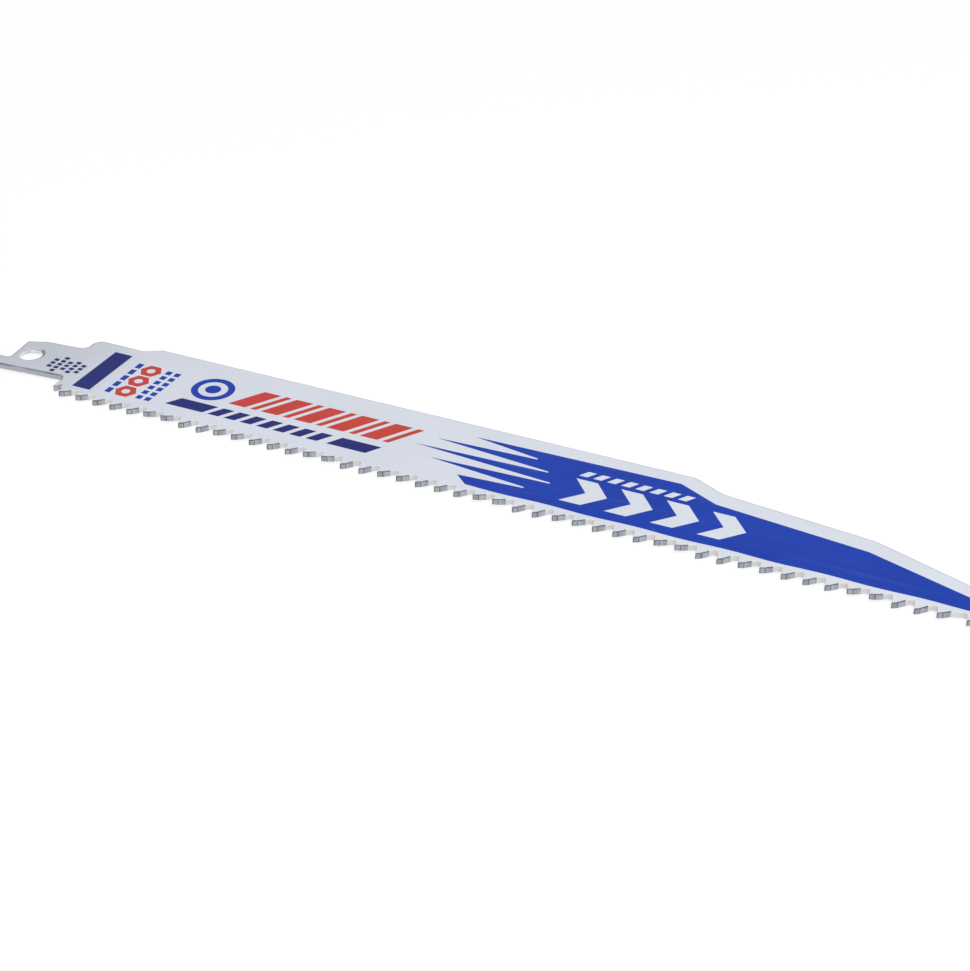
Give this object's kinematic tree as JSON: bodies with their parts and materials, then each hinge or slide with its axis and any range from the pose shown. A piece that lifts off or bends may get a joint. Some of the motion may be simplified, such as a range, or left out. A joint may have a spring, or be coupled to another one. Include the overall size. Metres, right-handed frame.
{
  "type": "reciprocating saw blade",
  "caption": "Flat toothed steel blade with a stepped tang, a clamp pin hole, a tapered nose and a printed upper face, for a reciprocating saw.",
  "frame": {"origin": "centre of the tang hole on the lower face of the strip", "axes": "+X along the tooth line from the tang to the nose, +Y from the teeth to the back, +Z out of the printed face"},
  "size_m": [0.2283, 0.0254, 0.0021],
  "materials": {
    "blade_steel": "satin light grey paint over steel",
    "ink_blue": "satin screen-printed ink",
    "ink_navy": "satin screen-printed ink",
    "ink_red": "satin screen-printed ink"
  },
  "bodies": {
    "root": {"blade": "blade_steel", "ink_blue": "ink_blue", "ink_navy": "ink_navy", "ink_red": "ink_red"}
  },
  "joints": []
}
